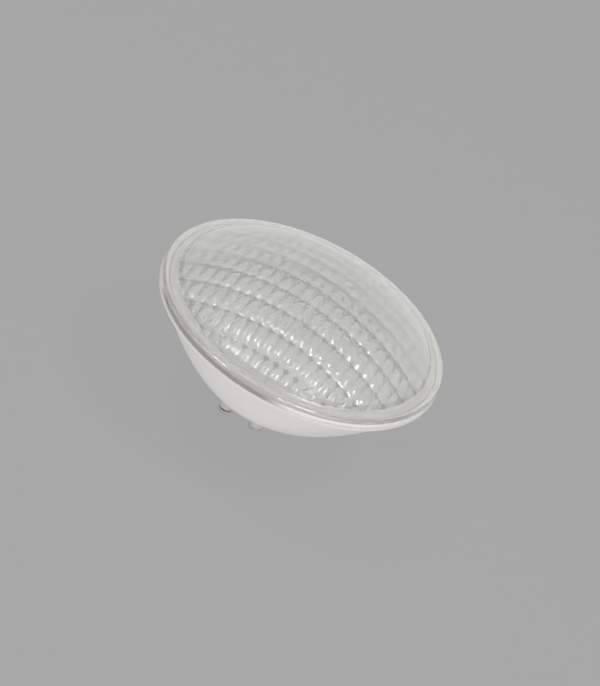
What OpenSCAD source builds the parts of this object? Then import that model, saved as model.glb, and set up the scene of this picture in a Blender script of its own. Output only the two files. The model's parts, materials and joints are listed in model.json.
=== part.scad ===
// Underwater pool lamp of the seven inch sealed form: a clear domed lens on a white bowl, with screw terminals behind.
// The origin is the centre of the flange's rear face, and +Z is the lamp's axis, out through the lens.

/* [Rim] */
// Outside diameter of the shell's flange
rim_d = 177.8; // [170:0.2:190]
// Thickness of the shell's flange
flange_t = 2.2; // [2:0.1:4]
// Height of the lens rim's outer wall and rounded edge above the flange
lens_rim_h = 5.2; // [4:0.1:7]
// How far the lens rim stands back from the flange's edge
lens_setback = 0.3; // [0.1:0.1:0.6]
// Rounding of the lens rim's front edge
lens_edge_r = 1.8; // [0.5:0.1:2.5]
// Chamfer on each side of the joint between lens and flange
joint_chamfer = 0.4; // [0.2:0.1:0.6]

/* [Lens] */
// Distance from the bowl's mouth in to the dome's edge
dome_margin = 5.3; // [3:0.1:9]
// Height of the dome above its own edge
dome_rise = 23.7; // [18:0.1:32]
// Rise of the smooth shoulder from the rim's top to the dome's edge
shoulder_rise = 2.6; // [1:0.1:5]
// Wall of the dome
lens_t = 3; // [2:0.1:4]
// Width of the rim's foot inside the dome's edge
lens_foot_w = 1; // [0.6:0.1:1.6]

/* [Shell] */
// Outside diameter of the bowl where it meets the flange
bowl_d = 172.8; // [168:0.2:174]
// Depth of the bowl behind the flange's rear face
bowl_depth = 54.7; // [50:0.1:70]
// Diameter of the flat at the back of the bowl
floor_d = 44.4; // [36:0.2:60]
// Fullness of the bowl's curve, larger is rounder
bowl_power = 1.7; // [1.4:0.05:2.4]
// Wall of the shell
shell_t = 2.6; // [2:0.1:3.4]

/* [Rim seals] */
// Width of the silicone ring
seal_w = 1.4; // [1:0.1:1.8]
// Height of the silicone ring in its groove
seal_h = 1; // [0.6:0.1:1.4]
// Side clearance of the ring in its groove
seal_clear = 0.1; // [0.05:0.05:0.2]
// Land between the bowl's mouth and the first groove, and between the grooves
groove_land = 0.6; // [0.4:0.1:0.8]
// Width of the adhesive bead
bead_w = 1.2; // [0.8:0.1:1.4]
// Height of the adhesive bead
bead_h = 0.6; // [0.4:0.1:1]

/* [Light board] */
// Gap between the plate behind the board and the bowl's inside
board_gap = 2.22; // [1:0.02:6]
// Thickness of the light board
board_t = 1.6; // [1:0.1:2.4]
// Depth of the board's front behind the flange's rear face
board_drop = 4; // [3:0.1:7]
// Thickness of the thermal pad
pad_t = 0.5; // [0.3:0.1:1]
// Margin of the thermal pad inside the board's edge
pad_margin = 1; // [0.5:0.1:3]
// Side of one light source
led_size = 5; // [3:0.1:6]
// Height of one light source
led_h = 1.6; // [1:0.1:2]
// Diameter of the window in a light source
led_window_d = 4; // [2.4:0.1:4.4]
// Depth of that window
led_window_h = 0.8; // [0.4:0.1:0.9]
// Rings of light sources, six more in each ring
led_rings = 3; // [1:1:3]
// Distance from the outer ring to the circle of board screws
led_post_gap = 8; // [7:0.5:14]
// Distance of the board screws from the board's edge
post_inset = 13; // [8:0.5:16]
// Diameter of the shell posts under the plate
post_d = 9; // [7:0.5:11]
// Board screws and posts
post_count = 4; // [3:1:6]
// Diameter of a board screw
board_screw_d = 3; // [2.5:0.5:4]
// Length of a board screw under its head
board_screw_len = 14; // [12:1:16]
// Diameter of a board screw's head
board_screw_head_d = 5.8; // [5:0.1:6.4]
// Height of a board screw's head
board_screw_head_h = 2; // [1.4:0.1:2.4]

/* [Heat sink] */
// Thickness of the heat sink's plate
sink_t = 3; // [2:0.1:5]
// Height of its fins
fin_h = 12; // [6:0.5:14]
// Thickness of a fin
fin_t = 2; // [1.2:0.1:2.4]
// Distance from one fin to the next
fin_pitch = 10; // [9:0.5:11]
// Length of a fin
fin_len = 60; // [40:1:64]
// Fins on each side of the middle
fin_pairs = 4; // [2:1:4]

/* [Reflector] */
// Width of the reflector's foot on the board
reflector_foot = 2; // [1:0.1:2.4]
// Inset of the foot from the board's edge
reflector_inset = 1; // [0.5:0.1:2]
// Thickness of the reflector
reflector_t = 1; // [0.8:0.1:1.4]
// Gap between the reflector's flange and the bowl's mouth
reflector_gap = 0.4; // [0.2:0.1:0.8]

/* [Feed to the board] */
// Diameter of a lead
lead_d = 1.4; // [1:0.1:1.8]
// Distance between the two leads
lead_gap = 2.4; // [2:0.1:3]
// Outside diameter of the rubber grommet's neck
grommet_d = 6.4; // [5.6:0.1:7]
// Width of the grommet's lips
grommet_lip = 0.6; // [0.4:0.1:0.8]
// Thickness of a grommet lip
grommet_lip_t = 0.8; // [0.6:0.1:1.2]
// How far the leads stand off the axis, away from the connector
lead_back = 2; // [1:0.1:3]
// Width of the connector
connector_w = 8; // [6:0.1:9]
// Length of the connector
connector_len = 6; // [4:0.1:8]
// Height of the connector
connector_h = 3.6; // [3:0.1:5]
// Distance from the axis to the connector's open face
connector_start = 4.2; // [4:0.1:6]
// Clearance of a lead in its hole
lead_clear = 0.1; // [0.05:0.05:0.3]

/* [Driver] */
// Length of the driver board
driver_len = 64; // [60:1:70]
// Width of the driver board
driver_w = 46; // [44:1:50]
// Thickness of the driver board
driver_t = 1.6; // [1:0.1:2]
// Height of the driver board's back above the bowl's floor
driver_lift = 12; // [11:0.1:14]
// Inset of the driver screws from the board's edges
driver_screw_inset = 5; // [4:0.1:6]
// Diameter of a driver post
driver_post_d = 6.5; // [5:0.1:8]
// Diameter of a driver screw
driver_screw_d = 2.5; // [2:0.5:3]
// Length of a driver screw under its head
driver_screw_len = 8; // [6:0.5:9]
// Diameter of a driver screw's head
driver_screw_head_d = 4.6; // [4:0.1:5.4]
// Height of a driver screw's head
driver_screw_head_h = 1.7; // [1.2:0.1:2]
// Length, width and height of the rectifier
rectifier_size = [4.6, 16, 11];
// Diameter of a smoothing capacitor
capacitor_d = 10; // [8:0.1:11]
// Height of a smoothing capacitor
capacitor_h = 12.5; // [8:0.1:13]
// Outside diameter of the choke's core
choke_d = 15; // [12:0.1:16]
// Hole in the choke's core
choke_hole_d = 8; // [6:0.1:9]
// Height of the choke's core
choke_h = 6; // [4:0.1:8]
// Turns of wire on the choke
choke_turns = 10; // [6:1:12]
// Thickness of the choke's wire
choke_wire = 0.9; // [0.6:0.1:1.2]
// Length, width and height of the control chip
chip_size = [5, 4, 1.5];
// Legs on each side of the control chip
chip_legs = 4; // [2:1:5]
// Length, width and height of the power transistor
transistor_size = [6.6, 6.2, 2.3];
// Thickness of the power transistor's tab
tab_t = 0.6; // [0.4:0.1:0.8]

/* [Terminals] */
// Distance between the two terminals
terminal_spacing = 21; // [19:0.1:24]
// Distance of the pair's middle from the lamp's axis
terminal_offset = -6; // [-8:0.1:8]
// Width of the oblong plinth
plinth_w = 15; // [12:0.1:16]
// Height of the plinth
plinth_h = 11.3; // [6:0.1:14]
// Diameter of a terminal boss
boss_d = 9.2; // [8.6:0.1:11]
// Height of a terminal boss
boss_h = 11.5; // [6:0.1:14]
// Chamfer at the end of a boss
boss_chamfer = 0.8; // [0.3:0.1:1]
// Diameter of the terminal screw
screw_d = 4; // [3:0.5:4.5]
// Length of the terminal screw under its head
screw_len = 14; // [10:0.5:16]
// Diameter of the screw's head
screw_head_d = 8; // [6.5:0.1:8.6]
// Height of the screw's head
screw_head_h = 2.6; // [1.8:0.1:3.2]
// Width of the driver slot in the head
screw_slot_w = 1.2; // [0.8:0.1:1.4]
// Depth of the driver slot
screw_slot_h = 1.2; // [0.8:0.1:1.6]
// Diameter of the washer
washer_d = 9; // [8.6:0.1:10]
// Thickness of the washer
washer_t = 0.8; // [0.5:0.1:1.2]
// Gap between a tight washer and its boss
tight_gap = 0.1; // [0.05:0.05:0.3]
// How far the left screw stands backed out
left_backed_out = 0.8; // [0:0.1:3]
// Outside diameter of the brass bush
bush_d = 6; // [5.4:0.1:7]
// Depth of the bush's blind thread
bush_thread_len = 18; // [16:0.5:20]
// Diameter of the bush's inner flange
bush_flange_d = 11; // [10.4:0.1:13]
// Thickness of the bush's inner flange
bush_flange_t = 1.5; // [1:0.1:2]
// Height of the bush's stud above its flange
stud_h = 5.2; // [4.8:0.1:6]
// Width of the ring seal under the bush's flange
bush_seal_w = 1.4; // [1:0.1:1.6]
// Height of the ring seal in its groove
bush_seal_h = 0.9; // [0.6:0.1:1.4]
// Thickness of a solder tag
tag_t = 0.8; // [0.5:0.1:1]
// Diameter of a solder tag's ring
tag_d = 9; // [8:0.1:10]
// Width of a solder tag's tail
tag_tail_w = 3; // [2.4:0.1:4]
// Length of a solder tag's tail from the stud's axis
tag_tail_len = 9.5; // [8:0.1:11]
// Width across the flats of a terminal nut
nut_af = 7; // [6.5:0.1:8]
// Height of a terminal nut
nut_h = 3.2; // [2.4:0.1:3.6]
// How far a supply lead moves sideways on its way up
supply_lead_shift = 4; // [2:0.1:6]
// Diameter of a supply lead
supply_lead_d = 1.8; // [1.2:0.1:2.2]

/* [Fits] */
// Radial clearance of a screw, stud or bush in its hole
thread_clear = 0.05; // [0.02:0.01:0.1]
// Radial clearance of a screw through a plate
hole_clear = 0.2; // [0.1:0.05:0.4]
// Clearance around a window in its light source
window_clear = 0.03; // [0.02:0.01:0.1]

/* [Hidden] */

$fn = 96;
// Overlap that makes one solid of two shapes, and overshoot of a cut
lap = 0.5;
// Points along the bowl's curve
bowl_steps = 28;
// Sides of a lead
lead_sides = 8;

rim_r = rim_d / 2;
lens_r = rim_r - lens_setback;
lens_foot_z = flange_t;
lens_rim_z = lens_foot_z + lens_rim_h;

bowl_r = bowl_d / 2;
floor_r = floor_d / 2;
mouth_r = bowl_r - shell_t;
floor_z = shell_t - bowl_depth;
// Inside radius of the bowl at a height
function bowl_in_r(z) = floor_r + (mouth_r - floor_r) * pow(1 - z / floor_z, 1 / bowl_power);

dome_r = mouth_r - dome_margin;
dome_edge_z = lens_rim_z + shoulder_rise;
dome_ball_r = (dome_r * dome_r + dome_rise * dome_rise) / (2 * dome_rise);
dome_ball_z = dome_edge_z + dome_rise - dome_ball_r;
lens_bore_r = dome_r - lens_foot_w;

seal_in_r = mouth_r + groove_land;
seal_out_r = seal_in_r + seal_w + 2 * seal_clear;
bead_in_r = seal_out_r + groove_land;
bead_out_r = bead_in_r + bead_w;

board_z = -board_drop;
pad_z = board_z - board_t;
plate_z = pad_z - pad_t;
sink_z = plate_z - sink_t;
board_r = bowl_in_r(sink_z) - board_gap;
post_circle_r = board_r - post_inset;
led_ring_step = (post_circle_r - led_post_gap) / led_rings;
post_angles = [for (i = [0 : post_count - 1]) 45 + 360 / post_count * i];
led_places = [
    for (ring = [1 : led_rings])
    for (i = [0 : 6 * ring - 1])
    [led_ring_step * ring, 60 / ring * i]
];

driver_back_z = floor_z + driver_lift;
driver_z = driver_back_z + driver_t;
driver_screw_x = driver_len / 2 - driver_screw_inset;
driver_screw_y = driver_w / 2 - driver_screw_inset;
lead_top_z = board_z + connector_h / 2;
grommet_hole_r = grommet_d / 2 + lead_clear;

boss_end_z = -bowl_depth - plinth_h - boss_h;
bush_r = bush_d / 2;
stud_r = screw_d / 2;
bush_flange_z = floor_z + bush_flange_t;
tag_z = bush_flange_z + tag_t;
left_x = terminal_offset - terminal_spacing / 2;
right_x = terminal_offset + terminal_spacing / 2;
terminal_xs = [left_x, right_x];
bush_seal_in_r = bush_r + groove_land;
bush_seal_out_r = bush_seal_in_r + bush_seal_w;

// Ring of rectangular section about the axis
module ring(r_in, r_out, z0, z1) {
    translate([0, 0, z0])
    difference() {
        cylinder(r = r_out, h = z1 - z0);
        translate([0, 0, -lap])
        cylinder(r = r_in, h = z1 - z0 + 2 * lap);
    }
}

// Round bar about the axis between two heights
module bar(r, z0, z1) {
    translate([0, 0, z0])
    cylinder(r = r, h = z1 - z0);
}

// Copies at the board screws
module at_posts() {
    for (a = post_angles)
    rotate([0, 0, a])
    translate([post_circle_r, 0, 0])
    children();
}

// Copies at the driver board's corners
module at_driver_posts() {
    for (sx = [-1, 1], sy = [-1, 1])
    translate([sx * driver_screw_x, sy * driver_screw_y, 0])
    children();
}

// Copies at the two terminals
module at_terminals() {
    for (x = terminal_xs)
    translate([x, 0, 0])
    children();
}

// Copies at the light sources
module at_leds() {
    for (place = led_places)
    rotate([0, 0, place[1]])
    translate([place[0], 0, board_z])
    children();
}

// Half outline of the bowl from its middle to its mouth, for a mouth radius and a depth
function bowl_curve(mouth, depth) = [
    for (i = [0 : bowl_steps])
    let (q = i / bowl_steps)
    [floor_r + (mouth - floor_r) * q, -depth * (1 - pow(q, bowl_power))]
];

// Pan head that points down from z = 0, with a slot across its end
module pan_head(d, h, slot_w, slot_h) {
    crown_r = d;
    difference() {
        intersection() {
            bar(d / 2, -h, 0);
            translate([0, 0, crown_r - h])
            sphere(r = crown_r);
        }
        translate([-d / 2 - lap, -slot_w / 2, -h - lap])
        cube([d + 2 * lap, slot_w, slot_h + lap]);
    }
}

// Plain screw with its head's seat at z = 0, its shank below and its head above
module plate_screw(d, len, head_d, head_h) {
    bar(d / 2, -len, lap);
    rotate([180, 0, 0])
    pan_head(head_d, head_h, d / 4, head_h / 2);
}

// Lead of round section in the plane x = 0, along points of [y, z]
module lead(points, d) {
    last = len(points) - 1;
    rings = [
        for (i = [0 : last])
        let (step = points[min(i + 1, last)] - points[max(i - 1, 0)])
        let (along = step / norm(step))
        for (k = [0 : lead_sides - 1])
        let (a = 360 / lead_sides * k)
        [
            d / 2 * cos(a),
            points[i][0] + d / 2 * sin(a) * along[1],
            points[i][1] - d / 2 * sin(a) * along[0]
        ]
    ];
    sides = [
        for (i = [0 : last - 1], k = [0 : lead_sides - 1])
        let (a = i * lead_sides + k, b = i * lead_sides + (k + 1) % lead_sides)
        [a, a + lead_sides, b + lead_sides, b]
    ];
    ends = [
        [for (k = [0 : lead_sides - 1]) k],
        [for (k = [lead_sides - 1 : -1 : 0]) last * lead_sides + k]
    ];
    polyhedron(points = rings, faces = concat(sides, ends), convexity = 4);
}

// Clear lens: a domed wall on a thick rim with a rounded front edge
module front_lens() {
    color("lightcyan", 0.4) {
        difference() {
            intersection() {
                translate([0, 0, dome_ball_z])
                sphere(r = dome_ball_r);
                bar(dome_r, lens_rim_z, dome_edge_z + dome_rise + lap);
            }
            translate([0, 0, dome_ball_z])
            sphere(r = dome_ball_r - lens_t);
        }
        rotate_extrude()
        lens_rim_profile();
    }
}

// Section of the lens rim, with the shoulder that rises to the dome's edge
module lens_rim_profile() {
    edge_x = lens_r - lens_edge_r;
    edge_z = lens_rim_z - lens_edge_r;
    polygon([
        [lens_bore_r, lens_foot_z],
        [lens_r - joint_chamfer, lens_foot_z],
        [lens_r, lens_foot_z + joint_chamfer],
        [lens_r, edge_z],
        for (a = [15 : 15 : 75])
        [edge_x + lens_edge_r * cos(a), edge_z + lens_edge_r * sin(a)],
        [edge_x, lens_rim_z],
        [dome_r, dome_edge_z],
        [lens_bore_r, dome_edge_z - lens_foot_w / 2]
    ]);
}

// Outside of the shell as one solid, with the plinth and the bosses
module shell_outside() {
    rotate_extrude()
    polygon(concat(
        [[0, -bowl_depth]],
        bowl_curve(bowl_r, bowl_depth),
        [
            [rim_r, 0],
            [rim_r, flange_t - joint_chamfer],
            [rim_r - joint_chamfer, flange_t],
            [0, flange_t]
        ]
    ));
    plinth_z = -bowl_depth - plinth_h;
    translate([left_x, -plinth_w / 2, plinth_z])
    cube([terminal_spacing, plinth_w, plinth_h + lap]);
    at_terminals() {
        bar(plinth_w / 2, plinth_z, lap - bowl_depth);
        bar(boss_d / 2, boss_end_z + boss_chamfer, plinth_z + lap);
        translate([0, 0, boss_end_z])
        cylinder(r1 = boss_d / 2 - boss_chamfer, r2 = boss_d / 2, h = boss_chamfer);
    }
}

// Hollow of the shell, with the posts left standing in it
module shell_hollow() {
    difference() {
        rotate_extrude()
        polygon(concat(
            [[0, floor_z]],
            bowl_curve(mouth_r, -floor_z),
            [[mouth_r, flange_t + lap], [0, flange_t + lap]]
        ));
        at_posts()
        bar(post_d / 2, -bowl_depth, sink_z);
        at_driver_posts()
        bar(driver_post_d / 2, -bowl_depth, driver_back_z);
    }
}

// White shell: bowl, flange, posts, plinth and bosses in one moulding
module rear_shell() {
    color("whitesmoke")
    difference() {
        shell_outside();
        shell_hollow();
        ring(seal_in_r, seal_out_r, flange_t - seal_h, flange_t + lap);
        ring(bead_in_r, bead_out_r, flange_t - bead_h, flange_t + lap);
        at_posts()
        bar(board_screw_d / 2 + thread_clear, board_z - board_screw_len - lap, sink_z + lap);
        at_driver_posts()
        bar(driver_screw_d / 2 + thread_clear, driver_z - driver_screw_len - lap, driver_back_z + lap);
        at_terminals() {
            bar(bush_r + thread_clear, boss_end_z - lap, floor_z + lap);
            ring(bush_seal_in_r, bush_seal_out_r, floor_z - bush_seal_h, floor_z + lap);
        }
    }
}

// Silicone ring in the flange's inner groove
module rim_seal() {
    color("gainsboro")
    ring(seal_in_r + seal_clear, seal_out_r - seal_clear, flange_t - seal_h, flange_t);
}

// Adhesive that fills the flange's outer groove
module bond_bead() {
    color("silver")
    ring(bead_in_r, bead_out_r, flange_t - bead_h, flange_t);
}

// White cone from the board's edge to the lens, with a flange under the lens rim
module reflector_ring() {
    foot_out_r = board_r - reflector_inset;
    foot_in_r = foot_out_r - reflector_foot;
    flange_out_r = mouth_r - reflector_gap;
    color("white")
    rotate_extrude()
    polygon([
        [foot_in_r, board_z],
        [foot_out_r, board_z],
        [lens_bore_r + reflector_t, flange_t - reflector_t],
        [flange_out_r, flange_t - reflector_t],
        [flange_out_r, flange_t],
        [lens_bore_r, flange_t],
        [foot_in_r, board_z + reflector_t]
    ]);
}

// Round metal-backed board that carries the light sources
module led_board() {
    color("ivory")
    difference() {
        bar(board_r, pad_z, board_z);
        at_posts()
        bar(board_screw_d / 2 + hole_clear, pad_z - lap, board_z + lap);
        translate([0, -lead_back, 0])
        bar(grommet_hole_r, pad_z - lap, board_z + lap);
    }
}

// Light sources, each with a round window in its face
module led_packages() {
    color("white")
    at_leds()
    difference() {
        translate([-led_size / 2, -led_size / 2, 0])
        cube([led_size, led_size, led_h]);
        bar(led_window_d / 2, led_h - led_window_h, led_h + lap);
    }
}

// Clear fill of those windows
module led_windows() {
    color("lemonchiffon")
    at_leds()
    bar(led_window_d / 2 - window_clear, led_h - led_window_h, led_h);
}

// Soft sheet that takes heat from the board to the plate
module thermal_pad() {
    color("slategray")
    difference() {
        bar(board_r - pad_margin, plate_z, pad_z);
        at_posts()
        bar(board_screw_d / 2 + hole_clear, plate_z - lap, pad_z + lap);
        translate([0, -lead_back, 0])
        bar(grommet_hole_r + grommet_lip, plate_z - lap, pad_z + lap);
    }
}

// Round plate with straight fins on its back
module heat_sink() {
    color("silver")
    difference() {
        union() {
            bar(board_r, sink_z, plate_z);
            for (side = [-1, 1], i = [0 : fin_pairs - 1])
            translate([side * fin_pitch * (i + 0.5) - fin_t / 2, -fin_len / 2, sink_z - fin_h])
            cube([fin_t, fin_len, fin_h + lap]);
        }
        at_posts()
        bar(board_screw_d / 2 + hole_clear, sink_z - lap, plate_z + lap);
        translate([0, -lead_back, 0])
        bar(grommet_d / 2, sink_z - lap, plate_z + lap);
    }
}

// Screws through board, pad and plate into the shell's posts
module board_screws() {
    color("lightsteelblue")
    at_posts()
    translate([0, 0, board_z])
    plate_screw(board_screw_d, board_screw_len, board_screw_head_d, board_screw_head_h);
}

// Two-way connector in the middle of the board
module board_connector() {
    color("white")
    difference() {
        translate([-connector_w / 2, connector_start - lead_back, board_z])
        cube([connector_w, connector_len, connector_h]);
        for (side = [-1, 1])
        translate([side * lead_gap / 2, connector_start - lead_back - lap, lead_top_z])
        rotate([-90, 0, 0])
        cylinder(d = lead_d + 2 * lead_clear, h = connector_len / 2 + lap);
    }
}

// Rubber grommet in the plate, with a lip under it and one hole for each lead
module lead_grommet() {
    color("dimgray")
    translate([0, -lead_back, 0])
    difference() {
        union() {
            bar(grommet_d / 2, sink_z - grommet_lip_t, plate_z);
            bar(grommet_d / 2 + grommet_lip, sink_z - grommet_lip_t, sink_z);
        }
        for (side = [-1, 1])
        translate([side * lead_gap / 2, 0, 0])
        bar(lead_d / 2 + lead_clear, sink_z - grommet_lip_t - lap, plate_z + lap);
    }
}

// Lead from the driver board up through the grommet and over into the connector
module board_lead(side) {
    bend_r = 2 * lead_d;
    translate([side * lead_gap / 2, -lead_back, 0])
    lead(concat(
        [[0, driver_z], [0, sink_z], [0, board_z - bend_r]],
        [for (a = [0 : 15 : 90]) [bend_r * (1 - cos(a)), lead_top_z - bend_r * (1 - sin(a))]],
        [[connector_start + connector_len / 2, lead_top_z]]
    ), lead_d);
}

module positive_lead() {
    color("white")
    board_lead(1);
}

module negative_lead() {
    color("lightgray")
    board_lead(-1);
}

// Driver board on its four posts
module driver_board() {
    color("darkgreen")
    difference() {
        translate([-driver_len / 2, -driver_w / 2, driver_back_z])
        cube([driver_len, driver_w, driver_t]);
        at_driver_posts()
        bar(driver_screw_d / 2 + hole_clear, driver_back_z - lap, driver_z + lap);
    }
}

// Screws that hold the driver board down
module driver_screws() {
    color("lightsteelblue")
    at_driver_posts()
    translate([0, 0, driver_z])
    plate_screw(driver_screw_d, driver_screw_len, driver_screw_head_d, driver_screw_head_h);
}

// Flat upright rectifier at the supply end of the board
module bridge_rectifier() {
    color("darkslategray")
    translate([-driver_len / 2 + 2 * driver_screw_inset, 0, driver_z])
    translate([-rectifier_size[0] / 2, -rectifier_size[1] / 2, 0])
    cube(rectifier_size);
}

// Two round capacitors along one side of the board
module smoothing_capacitors() {
    color("midnightblue")
    for (i = [0, 1])
    translate([capacitor_d / 2 * (1 + 2.4 * i) - capacitor_d / 2, -driver_w / 2 + capacitor_d, driver_z]) {
        bar(capacitor_d / 2, 0, capacitor_h - lap);
        bar(capacitor_d / 2 - lap, 0, capacitor_h);
    }
}

// Copies the choke's parts to their place
module at_choke() {
    translate([driver_len / 4, driver_w / 4 - choke_wire, driver_z + choke_wire + lead_clear])
    children();
}

// Ring core of the choke
module choke_core() {
    color("dimgray")
    at_choke()
    ring(choke_hole_d / 2, choke_d / 2, 0, choke_h);
}

// Turns of wire round the core, each a closed loop that clears it
module choke_winding() {
    loop_w = (choke_d - choke_hole_d) / 2 + 2 * lead_clear;
    loop_h = choke_h + 2 * lead_clear;
    color("peru")
    at_choke()
    for (i = [0 : choke_turns - 1])
    rotate([0, 0, 360 / choke_turns * i])
    translate([choke_hole_d / 2 - lead_clear, 0, -lead_clear])
    difference() {
        translate([-choke_wire, -choke_wire / 2, -choke_wire])
        cube([loop_w + 2 * choke_wire, choke_wire, loop_h + 2 * choke_wire]);
        translate([0, -choke_wire, 0])
        cube([loop_w, 2 * choke_wire, loop_h]);
    }
}

// Control chip with its rows of legs
module control_chip() {
    leg_w = chip_size[0] / (2 * chip_legs);
    leg_out = chip_size[1] / 4;
    color("black")
    translate([-driver_len / 6, -chip_size[1], driver_z]) {
        translate([-chip_size[0] / 2, -chip_size[1] / 2, 0])
        cube(chip_size);
        for (side = [-1, 1], i = [0 : chip_legs - 1])
        translate([leg_w * (2 * i + 0.5) - chip_size[0] / 2, side * chip_size[1] / 2 - leg_out, 0])
        cube([leg_w, 2 * leg_out, chip_size[2] / 3]);
    }
}

// Flat power transistor with a metal tab past its end
module power_transistor() {
    color("black")
    translate([-driver_len / 6 - transistor_size[0] / 2, driver_w / 4 - transistor_size[1] / 2, driver_z]) {
        cube(transistor_size);
        translate([lap, -transistor_size[1] / 4, 0])
        cube([transistor_size[0] - 2 * lap, transistor_size[1] / 2, tab_t]);
    }
}

// Brass bushes through the bosses: a blind thread outside, a flange and a stud inside
module terminal_bushes() {
    color("goldenrod")
    at_terminals()
    difference() {
        union() {
            bar(bush_r, boss_end_z, floor_z + lap);
            bar(bush_flange_d / 2, floor_z, bush_flange_z);
            bar(stud_r, floor_z, bush_flange_z + stud_h);
        }
        bar(stud_r + thread_clear, boss_end_z - lap, boss_end_z + bush_thread_len);
    }
}

// Ring seals between the bush flanges and the shell's floor
module terminal_seals() {
    color("dimgray")
    at_terminals()
    ring(bush_seal_in_r, bush_seal_out_r, floor_z - bush_seal_h, floor_z);
}

// Solder tags on the bush flanges
module solder_tags() {
    color("gold")
    at_terminals()
    difference() {
        union() {
            bar(tag_d / 2, bush_flange_z, tag_z);
            translate([-tag_tail_w / 2, 0, bush_flange_z])
            cube([tag_tail_w, tag_tail_len, tag_t]);
        }
        bar(stud_r + thread_clear, bush_flange_z - lap, tag_z + lap);
    }
}

// Nuts that clamp the tags
module terminal_nuts() {
    color("silver")
    at_terminals()
    difference() {
        translate([0, 0, tag_z])
        cylinder(d = nut_af / cos(30), h = nut_h, $fn = 6);
        bar(stud_r + thread_clear, tag_z - lap, tag_z + nut_h + lap);
    }
}

// Lead from a solder tag's tail up to the driver board's back
module supply_lead(x) {
    start_y = tag_tail_len - tag_tail_w / 2;
    rise = driver_back_z - tag_z;
    translate([x, start_y, tag_z])
    lead([
        [0, 0],
        for (t = [0.1 : 0.1 : 0.95])
        let (s = (t - 0.1) / 0.8)
        [supply_lead_shift * s * s * (3 - 2 * s), rise * t],
        [supply_lead_shift, rise]
    ], supply_lead_d);
}

module left_supply_lead() {
    color("saddlebrown")
    supply_lead(left_x);
}

module right_supply_lead() {
    color("royalblue")
    supply_lead(right_x);
}

// Washer of a terminal, by how far it stands off its tight place
module terminal_washer(x, backed_out) {
    top_z = boss_end_z - tight_gap - backed_out;
    color("gainsboro")
    translate([x, 0, 0])
    ring(stud_r + thread_clear, washer_d / 2, top_z - washer_t, top_z);
}

// Screw of a terminal, whose head sits on the washer
module terminal_screw(x, backed_out) {
    seat_z = boss_end_z - tight_gap - backed_out - washer_t;
    color("lightgray")
    translate([x, 0, seat_z]) {
        pan_head(screw_head_d, screw_head_h, screw_slot_w, screw_slot_h);
        bar(stud_r, -lap, screw_len);
    }
}

module left_terminal_washer() {
    terminal_washer(left_x, left_backed_out);
}

module right_terminal_washer() {
    terminal_washer(right_x, 0);
}

module left_terminal_screw() {
    terminal_screw(left_x, left_backed_out);
}

module right_terminal_screw() {
    terminal_screw(right_x, 0);
}

front_lens();
rear_shell();
rim_seal();
bond_bead();
reflector_ring();
led_board();
led_packages();
led_windows();
thermal_pad();
heat_sink();
board_screws();
board_connector();
lead_grommet();
positive_lead();
negative_lead();
driver_board();
driver_screws();
bridge_rectifier();
smoothing_capacitors();
choke_core();
choke_winding();
control_chip();
power_transistor();
terminal_bushes();
terminal_seals();
solder_tags();
terminal_nuts();
left_supply_lead();
right_supply_lead();
left_terminal_washer();
right_terminal_washer();
left_terminal_screw();
right_terminal_screw();
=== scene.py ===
import json
import math

import bpy
from bpy.props import FloatProperty, FloatVectorProperty, IntProperty, PointerProperty
from mathutils import Matrix, Vector


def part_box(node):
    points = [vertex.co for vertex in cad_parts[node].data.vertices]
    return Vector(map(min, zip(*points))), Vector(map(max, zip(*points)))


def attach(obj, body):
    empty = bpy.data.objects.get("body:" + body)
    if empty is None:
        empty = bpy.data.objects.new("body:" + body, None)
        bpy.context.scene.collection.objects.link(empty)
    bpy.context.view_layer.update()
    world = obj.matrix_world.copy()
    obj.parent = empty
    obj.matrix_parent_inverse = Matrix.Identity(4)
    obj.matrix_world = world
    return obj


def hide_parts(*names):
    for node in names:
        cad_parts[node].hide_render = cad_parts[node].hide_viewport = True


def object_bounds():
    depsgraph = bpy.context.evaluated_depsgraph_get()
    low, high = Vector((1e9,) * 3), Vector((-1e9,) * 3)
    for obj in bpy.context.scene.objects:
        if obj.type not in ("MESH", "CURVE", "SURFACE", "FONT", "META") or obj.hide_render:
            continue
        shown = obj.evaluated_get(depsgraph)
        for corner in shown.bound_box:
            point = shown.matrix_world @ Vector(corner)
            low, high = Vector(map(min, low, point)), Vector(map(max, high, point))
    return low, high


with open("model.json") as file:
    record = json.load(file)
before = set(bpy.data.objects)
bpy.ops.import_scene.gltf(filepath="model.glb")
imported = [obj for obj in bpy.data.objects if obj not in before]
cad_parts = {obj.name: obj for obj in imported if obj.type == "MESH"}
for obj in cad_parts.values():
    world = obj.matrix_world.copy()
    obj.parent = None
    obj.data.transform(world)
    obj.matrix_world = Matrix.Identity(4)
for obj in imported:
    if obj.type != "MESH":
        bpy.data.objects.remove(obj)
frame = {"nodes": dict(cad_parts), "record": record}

bl_info = {
    "name": "Underwater Pool Light",
    "version": (1, 0, 0),
    "blender": (4, 5, 0),
    "location": "3D View > Sidebar > Pool Light",
    "description": "Models the fluted lens, the white shell and the terminals of a pool light, and lights it",
    "category": "Add Mesh",
}

CAD_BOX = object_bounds()
LENS_LOW, LENS_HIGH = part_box("front_lens")
SHELL_LOW, SHELL_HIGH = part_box("rear_shell")
SIDES = ("left", "right")
MM = 0.001
NEAR = 0.01 * MM  # slack when a point's place is tested
WELD = 0.002 * MM  # points of a turned piece that lie closer become one
ROW_WELD = 0.005 * MM  # the same where copies in a row meet
ROUND = 192  # steps round the large turned pieces


def terminal_x(side):
    """Where a terminal's axis crosses the line of the terminals."""
    low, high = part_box(f"{side}_terminal_screw")
    return (low.x + high.x) / 2


def length(name, description, default):
    """A size in metres for the sidebar."""
    return FloatProperty(name=name, description=description, default=default, unit="LENGTH", precision=5)


def turn(name, description, default):
    """An angle in degrees for the sidebar."""
    return FloatProperty(name=name, description=description, default=math.radians(default), subtype="ANGLE")


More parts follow.
